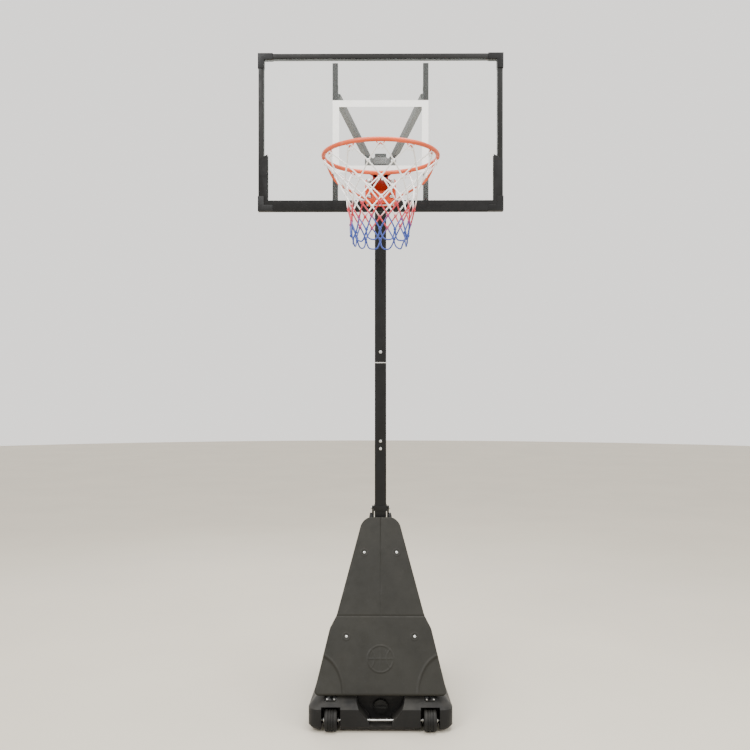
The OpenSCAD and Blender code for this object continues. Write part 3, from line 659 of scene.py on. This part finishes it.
def net_point(spoke, level, drop=None, out=0.0):
    """Place of a knot: spoke counts half hooks round the ring, level counts rows of meshes down.

    Its drop is start + level times the row drop, and its radius foot + flare exp(-fall / fade).
    Sines of the spoke and level, stronger lower down, pull each knot a little off its place."""
    s = sizes()
    fall = min((level if drop is None else drop) * s.row_drop, s.net_drop)
    slack = s.slack * min(level / 3.0, 1.0)
    turn = round(spoke) % (2 * s.hooks)
    fall -= slack * (0.5 + 0.5 * math.sin(3.7 * turn + 2.3 * level))
    radius = s.net_foot + s.net_flare * math.exp(-fall / s.net_fade) + out
    radius -= slack * (0.6 + 0.6 * math.sin(5.1 * turn + 1.3 * level))
    a = math.pi / s.hooks * spoke + 4.0 * slack * math.sin(2.9 * turn + 4.1 * level)
    return np.array([RING_CENTRE.x + radius * math.sin(a), RING_CENTRE.y - radius * math.cos(a),
                     RING_CENTRE.z - s.net_start - fall])


def hook_loop(hook, side):
    """Bight over one dip of a hook: most of a circle round the wire, then the tail below it."""
    s = sizes()
    dip_in, dip_beside, dip_below = 0.003, 0.008, 0.0176
    grip = HOOK_WIRE + s.cord / 2
    a = 2 * math.pi * hook / s.hooks
    outward = np.array([math.sin(a), -math.cos(a), 0])
    sideways = np.array([math.cos(a), math.sin(a), 0])
    dip = np.array([*RING_CENTRE]) + (RING_RADIUS - dip_in) * outward
    dip += side * dip_beside * sideways - [0, 0, dip_below]
    turn = np.radians([205, 165, 125, 90, 55, 15])[:, None]
    ring = dip + grip * (np.cos(turn) * outward + np.sin(turn) * [0, 0, 1])
    tail = dip - 0.35 * grip * outward - [0, 0, 2.3 * grip]
    return np.vstack([tail[None], ring])


class HOOP_OT_net(bpy.types.Operator):
    """Twelve cords, each hung from two hooks and knotted to its neighbours"""
    bl_idname = "hoop.net"
    bl_label = "Net"

    def execute(self, context):
        s, c = sizes(), colours()
        bands = [(0.0, 0.26, c.net_blue), (0.33, 0.46, c.net_red), (0.53, 1.0, c.net_white)]
        bands = [(a, b, tuple(colour)) for a, b, colour in bands]
        self.material = braided_cord("braided_cord", NET_LOW.z, NET_HIGH.z, bands)
        cords = [self.cord(k) for k in range(s.hooks)]
        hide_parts("net_cords")
        self.knots()
        return {"FINISHED"}

    def cord(self, hook):
        """Down one way from a hook, round a bottom loop, and up the other way to a hook beyond."""
        s = sizes()
        weave, far = 0.40 * s.cord, hook + s.rows
        levels = range(1, s.rows)
        down = [net_point(2 * hook + i, i, out=weave) for i in levels]
        up = [net_point(2 * far - i, i, out=-weave) for i in reversed(levels)]
        loop = [(6.14, 6.35), (6.42, 6.66), (7.0, 6.96), (7.58, 6.66), (7.86, 6.35)]
        foot = [net_point(2 * hook + turn, s.rows, drop) for turn, drop in loop]
        knots = [*down, *foot, *up]
        points = np.vstack([hook_loop(hook, 1), knots, hook_loop(far, -1)[::-1]])
        path = smooth_path(points, 3)
        piece = add_mesh(f"net_cord_{hook + 1:02d}", *tube(path, s.cord / 2, 8))
        finish_piece(piece, "rim", self.material)
        return piece

    def knots(self):
        """Overhand knots at crossings and under hooks: balls whose radius swells in two lobes."""
        s = sizes()
        rows, cols, under_hook = 9, 12, 0.72
        polar = np.linspace(0, np.pi, rows)[:, None]
        around = np.linspace(0, 2 * np.pi, cols, endpoint=False)[None, :]
        swell = 1.0 + 0.16 * np.cos(2 * around + 3 * polar) + 0.10 * np.cos(4 * polar)
        ball = np.stack([
            np.sin(polar) * np.cos(around) * swell, np.sin(polar) * np.sin(around) * swell,
            1.25 * np.cos(polar) + 0 * around], axis=2).reshape(-1, 3) * s.cord
        places = [net_point(2 * k + i, i) for i in range(1, s.rows) for k in range(s.hooks)]
        places += [hook_loop(k, side)[0] for k in range(s.hooks) for side in (-1, 1)]
        parts = []
        for n, place in enumerate(places):
            size = 1.0 if n < s.hooks * (s.rows - 1) else under_hook
            parts.append((size * ball + place, lattice(rows, cols, False, True), (),
                          lattice_uv(rows, cols, False, True, (1.0, 1.5))))
        piece = add_mesh("net_knots", *joined(parts))
        finish_piece(piece, "rim", self.material)


# ---------- rim ----------

class HOOP_OT_rim(bpy.types.Operator):
    """Ring with its weld, net hooks, brace rods and the pressed bracket plates"""
    bl_idname = "hoop.rim"
    bl_label = "Rim"

    def execute(self, context):
        e = sizes().eased
        self.ring()
        self.hooks()
        dress("rim", "brace_left", "brace_right")
        eased("rim_back_plate", e, finish_of("bracket"), "rim_paint", "mast")
        eased("rim_face_plate", e, finish_of("bracket"), "rim_paint", "rim", 3)
        eased("rim_neck", e, finish_of("neck"), "neck_paint", "rim")
        eased("rim_pad", e, finish_of("rubber"), "black_rubber", "mast")
        return {"FINISHED"}

    def ring(self):
        """Circle of round bar whose radius swells by a bell curve at the weld behind."""
        swell, weld_angle = 0.015, 0.02
        a = np.linspace(0, 2 * np.pi, 288, endpoint=False)
        path = np.stack([RING_CENTRE.x + RING_RADIUS * np.sin(a),
                         RING_CENTRE.y + RING_RADIUS * np.cos(a),
                         np.full_like(a, RING_CENTRE.z)], axis=1)
        away = np.minimum(a, 2 * np.pi - a)
        radius = ROD / 2 * (1 - swell + swell * np.exp(-(away / weld_angle) ** 2))
        piece = add_mesh("rim_ring_bar", *tube(path, radius, 28, closed=True))
        finish_piece(piece, "rim", finish_of("rim"), ["rim_ring"])

    def hooks(self):
        """Wire hooks: across the bar's underside, the wire dips, rises to a peak and dips again."""
        half_width, depth, peak, bow = 0.016, 0.0115, 0.0055, 0.004
        s = np.linspace(-1, 1, 41)
        along = half_width * s
        drop = -ROD * 0.42 - depth * (1 - np.abs(s) ** 3) + peak * np.exp(-(s / 0.22) ** 2)
        r = RING_RADIUS - bow * (1 - s ** 2)
        parts = []
        for k in range(sizes().hooks):
            a = 2 * np.pi * k / sizes().hooks
            x = RING_CENTRE.x + r * math.sin(a) + along * math.cos(a)
            y = RING_CENTRE.y - r * math.cos(a) + along * math.sin(a)
            parts.append(tube(np.stack([x, y, RING_CENTRE.z + drop], axis=1), HOOK_WIRE, 10))
        piece = add_mesh("net_hooks", *joined(parts))
        finish_piece(piece, "rim", finish_of("rim"), ["rim_hooks"])


class HOOP_OT_springs(bpy.types.Operator):
    """Two flex springs of round wire with ground flat ends"""
    bl_idname = "hoop.springs"
    bl_label = "Springs"

    turns, wire, squashed_to = 5.0, 0.0026, 0.58

    def execute(self, context):
        for side in ("left", "right"):
            low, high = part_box("spring_" + side)
            piece = self.coil("flex_spring_" + side, low, high)
            finish_piece(piece, "mast", finish_of("spring"), ["spring_" + side])
            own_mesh(piece)
        return {"FINISHED"}

    def coil(self, name, low, high):
        """Helix about Y whose pitch eases to nothing over the first and last turn."""
        middle, turns, wire = (low + high) / 2, self.turns, self.wire
        reach = (high.x - low.x) / 2 - wire
        t = np.linspace(0, 1, int(turns * 26))
        pace = np.clip(np.minimum(t, 1 - t) * turns, 0.12, 1.0)
        rise = np.concatenate([[0], np.cumsum((pace[1:] + pace[:-1]) / 2)])
        rise /= rise[-1]
        a = 2 * np.pi * turns * t
        y = low.y + wire + (high.y - low.y - 2 * wire) * rise
        path = np.stack([middle.x + reach * np.cos(a), y, middle.z + reach * np.sin(a)], axis=1)
        return add_mesh(name, *tube(path, wire, 12))


# ---------- board, arms, pole ----------

class HOOP_OT_board(bpy.types.Operator):
    """Clear sheet in its steel frame, with target, corner caps and edge guard"""
    bl_idname = "hoop.board"
    bl_label = "Board"

    def execute(self, context):
        e = sizes().eased
        for node in ("frame_top", "frame_bottom", "frame_left", "frame_right",
                     "upright_left", "upright_right"):
            eased(node, e, finish_of("frame"), "frame_paint", "mast")
        eased("edge_guard", 1.2 * e, finish_of("guard"), "guard_foam", "mast")
        eased("corner_caps", 1.2 * e, finish_of("cap"), "cap_plastic", "mast", 3)
        dress("sheet", "board_sheet")
        dress("film", "target_square")
        return {"FINISHED"}


class HOOP_OT_arms(bpy.types.Operator):
    """Arms, boom and the plates that they are welded and bolted to"""
    bl_idname = "hoop.arms"
    bl_label = "Arms"

    def execute(self, context):
        e = sizes().eased
        for node in ("arm_bracket", "arm_left", "arm_right", "arm_plates", "boom_saddle",
                     "centre_boom", "rear_mount_plate"):
            eased(node, e, finish_of("arm"), "arm_paint", "mast")
        return {"FINISHED"}


class HOOP_OT_pole(bpy.types.Operator):
    """Telescoping pole with its bush, boot and cap"""
    bl_idname = "hoop.pole"
    bl_label = "Pole"

    def execute(self, context):
        dress("pole", "lower_pole", "upper_pole", "inner_tube")
        dress("nylon", "pole_bush")
        eased("pole_boot", 1.2 * sizes().eased, finish_of("rubber"), "black_rubber", "base", 3)
        eased("pole_cap", sizes().eased, finish_of("cap"), "cap_plastic", "mast")
        return {"FINISHED"}


class HOOP_OT_struts(bpy.types.Operator):
    """Four struts and the collar that gathers them on the pole"""
    bl_idname = "hoop.struts"
    bl_label = "Struts"

    def execute(self, context):
        for node in ("front_strut_left", "front_strut_right", "rear_strut_left",
                     "rear_strut_right", "strut_collar"):
            eased(node, 0.8 * sizes().eased, finish_of("strut"), "pole_paint", "base")
        return {"FINISHED"}


class HOOP_OT_fasteners(bpy.types.Operator):
    """Bolts, screws, axle and retainers in zinc plate"""
    bl_idname = "hoop.fasteners"
    bl_label = "Fasteners"

    def execute(self, context):
        riders = {
            "base": ("axle_retainers", "strut_top_bolts", "strut_foot_bolts", "panel_bolts",
                     "wheel_axle"),
            "lock_screw_upper": ("lock_screw_upper",),
            "lock_screw_lower": ("lock_screw_lower",),
            "mast": ("joint_bolt", "arm_bracket_bolts", "arm_bolts", "boom_bolts",
                     "rim_mount_bolts", "spring_bolts", "rim_pivot_pin"),
        }
        for body, nodes in riders.items():
            for node in nodes:
                eased(node, 0.5 * sizes().eased, finish_of("zinc"), "zinc_steel", body)
        return {"FINISHED"}


# ---------- base ----------

class HOOP_OT_tank(bpy.types.Operator):
    """Blown tank with rounded edges, its filler cap, seal and ballast"""
    bl_idname = "hoop.tank"
    bl_label = "Tank"

    def execute(self, context):
        eased("base_tank", sizes().tank_edge, finish_of("tank"), "tank_plastic", "base", 4, 25)
        eased("filler_cap", 1.2 * sizes().eased, finish_of("cap"), "cap_plastic", "filler_cap", 3)
        dress("rubber", "cap_seal")
        dress("ballast", "ballast_fill")
        return {"FINISHED"}


class HOOP_OT_wheels(bpy.types.Operator):
    """Moulded wheels with ribbed treads, dished webs and spokes"""
    bl_idname = "hoop.wheels"
    bl_label = "Wheels"

    def execute(self, context):
        for side in ("left", "right"):
            node = "wheel_" + side
            low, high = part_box(node)
            middle = (low + high) / 2
            self.wheel(node, middle, (high.z - low.z) / 2, (high.x - low.x) / 2)
        return {"FINISHED"}

    def wheel(self, node, middle, radius, half):
        """Tyre-shaped profile turned about X; the web rises to a spoke at each of eight angles."""
        bore, hub, web, rim, shoulder, tread = 0.00505, 0.015, 0.0105, 0.038, 0.046, radius
        slope, bevel, groove, edge, steps = 0.002, 0.006, tread - 0.003, 0.0016, 160
        spokes, spoke_height = 8, 0.013
        right = [[bore, half], [hub, half], [hub + slope, web], [rim - slope, web], [rim, half],
                 [shoulder, half], [tread, half - bevel],
                 [tread, 0.0145], [groove, 0.0135], [groove, 0.0095],
                 [tread, 0.0085], [tread, 0.003], [groove, 0.002]]
        outline = np.array(right + [[r, -x] for r, x in right[::-1]])
        profile = rounded(outline, edge, 4)
        points, quads, caps, uv = turned(profile, steps, (0, 0, 0))
        a = np.repeat(np.linspace(0, 2 * np.pi, steps, endpoint=False), len(profile))
        r = np.hypot(points[:, 1], points[:, 2])
        spoke = np.clip(1.6 * np.cos(spokes * a) - 0.55, 0, 1)
        inside = (r > hub + slope / 2) & (r < rim - slope / 2)
        points[:, 0] += np.where(inside, np.sign(points[:, 0]) * spoke_height * spoke, 0)
        piece = add_mesh(node + "_moulded", points + np.array(middle), quads, caps, uv)
        finish_piece(piece, node, finish_of("wheel"), [node])


class HOOP_OT_panel(bpy.types.Operator):
    """Front panel: crowned shell with seams, bolt bosses, corner arcs and a round badge"""
    bl_idname = "hoop.panel"
    bl_label = "Front panel"

    half, length, back, deep = 0.318, 0.871, 0.014, 0.018
    lean, foot = math.radians(64.9), (0, -0.4, 0.160)
    waist = 0.423
    roll, wall = 0.008, 0.003
    badge_height, badge_radius = 0.19, 0.062

    def execute(self, context):
        up = np.array([0, math.cos(self.lean), math.sin(self.lean)])
        out = np.array([0, -math.sin(self.lean), math.cos(self.lean)])
        x, t, z = self.surface()
        points = (np.array(self.foot) + x[..., None] * [1, 0, 0] + t[..., None] * up
                  + (self.back + z)[..., None] * out)
        rows, cols = x.shape
        piece = add_mesh("front_panel_moulded", points.reshape(-1, 3), lattice(rows, cols),
                         uv=lattice_uv(rows, cols))
        wall = piece.modifiers.new("wall", "SOLIDIFY")
        wall.thickness = self.wall
        wall.offset = -1
        finish_piece(piece, "base", finish_of("panel"), ["front_panel"])
        return {"FINISHED"}

    def half_width(self, t):
        """Half width at a height up the slope: straight runs between corners, round at the ends."""
        gap, foot_arc, top_arc, top_width = self.length - t, 0.025, 0.050, 0.044
        width = np.interp(t / self.length, [0, 0.345, 0.36, self.waist, 0.44, 1],
                          [self.half, 0.2505, 0.2465, 0.2185, 0.2135, 0.091])
        curve = foot_arc - np.sqrt(np.clip(foot_arc ** 2 - (foot_arc - t) ** 2, 0, None))
        width = width - np.where(t < foot_arc, curve, 0)
        curve = top_width - top_width * np.sqrt(np.clip(1 - (1 - gap / top_arc) ** 2, 0, None))
        return width - np.where(gap < top_arc, curve, 0)

    def surface(self):
        """Front skin over (across, up), then a rolled edge and a wall back to the flange."""
        roll = self.roll
        edge = 0.06 * (0.5 - 0.5 * np.cos(np.linspace(0, np.pi, 15)))[:8]
        v = np.concatenate([edge, np.linspace(0.034, 0.966, 250), 1 - edge[::-1]])
        u = np.concatenate([-1 + edge * 1.2, np.linspace(-0.955, 0.955, 180), 1 - edge[::-1] * 1.2])
        t = v[:, None] * self.length + 0 * u[None, :]
        w = self.half_width(t)
        x = u[None, :] * w
        side_gap = (1 - np.abs(u))[None, :] * w
        end_gap = np.minimum(t, self.length - t)
        drop = sum(roll - np.sqrt(np.clip(roll ** 2 - np.clip(roll - g, 0, roll) ** 2, 0, None))
                   for g in (side_gap, end_gap))
        z = self.deep - np.minimum(drop, roll * 1.3) + self.relief(x, t)
        for share in (0.6, 0.3, 0.0):
            x, t, z = (np.pad(grid, 1, mode="edge") for grid in (x, t, z))
            border = np.ones_like(z, bool)
            border[1:-1, 1:-1] = False
            z[border] = (self.deep - roll * 1.3) * share
        return x, t, z

    def relief(self, x, t):
        """Height added to the skin: ridges and grooves as bell curves of the distance to a line."""
        def line(distance, width, height):
            return height * np.exp(-(distance / width) ** 2)

        upper = 1 / (1 + np.exp(-(t / self.length - self.waist) * 260))
        z = line(x, 0.0022, -0.0028) * upper
        z += line(t - self.waist * self.length, 0.0026, -0.0032)
        for side in (-1, 1):
            corner = (np.hypot((x - side * self.half) / 0.138, t / 0.188) - 1) * 0.150
            z += line(corner - 0.004, 0.0045, 0.0030)
            z += -0.0030 / (1 + np.exp((corner + 0.003) / 0.0014))
            for bolt_x, bolt_s in ((0.082, 0.785), (0.166, 0.31)):
                near = np.hypot(x - side * bolt_x, t - bolt_s * self.length)
                z += line(near - 0.0165, 0.0028, 0.0016) - line(near, 0.010, 0.0010)
        return z + self.badge(x, t - self.badge_height * self.length)

    def badge(self, x, y):
        """Raised ball: a ring, two straight seams and two bowed ones, each a bell curve."""
        r, size, seam = np.hypot(x, y), self.badge_radius, 0.0018
        dome = 0.0012 * np.sqrt(np.clip(1 - (r / size) ** 2, 0, 1))
        inside = 1 / (1 + np.exp((r - size) / 0.0012))
        ring = 0.0026 * np.exp(-((r - size) / 0.003) ** 2)
        seams = np.maximum.reduce([
            np.exp(-(x / seam) ** 2), np.exp(-(y / seam) ** 2),
            np.exp(-((np.hypot(np.abs(x) - 0.086, y) - 0.058) / seam) ** 2)])
        return ring + inside * (dome + 0.0020 * seams)


# ---------- panel in the sidebar, and the run ----------

OPERATORS = (
    HOOP_OT_stage, HOOP_OT_net, HOOP_OT_rim, HOOP_OT_springs, HOOP_OT_board, HOOP_OT_arms,
    HOOP_OT_pole, HOOP_OT_struts, HOOP_OT_panel, HOOP_OT_tank, HOOP_OT_wheels, HOOP_OT_fasteners,
)


class HOOP_PT_sidebar(bpy.types.Panel):
    """Lists the settings and the pieces of the hoop"""
    bl_idname = "HOOP_PT_sidebar"
    bl_label = "Basketball hoop"
    bl_space_type = "VIEW_3D"
    bl_region_type = "UI"
    bl_category = "Hoop"

    def draw(self, context):
        for group in (context.scene.hoop_sizes, context.scene.hoop_colours):
            box = self.layout.box()
            for key in group.bl_rna.properties.keys():
                if key not in ("rna_type", "name"):
                    box.prop(group, key)
        for operator in OPERATORS:
            self.layout.operator(operator.bl_idname)


CLASSES = (HoopSizes, HoopColours, *OPERATORS, HOOP_PT_sidebar)


def register():
    """Makes the classes known to Blender and hangs the settings on the scene."""
    for cls in CLASSES:
        bpy.utils.register_class(cls)
    bpy.types.Scene.hoop_sizes = PointerProperty(type=HoopSizes)
    bpy.types.Scene.hoop_colours = PointerProperty(type=HoopColours)


def unregister():
    """Takes away what register added, in the opposite order."""
    del bpy.types.Scene.hoop_colours
    del bpy.types.Scene.hoop_sizes
    for cls in reversed(CLASSES):
        bpy.utils.unregister_class(cls)


def main():
    register()
    for operator in OPERATORS:
        group, name = operator.bl_idname.split(".")
        getattr(getattr(bpy.ops, group), name)()


if __name__ == "__main__":
    main()
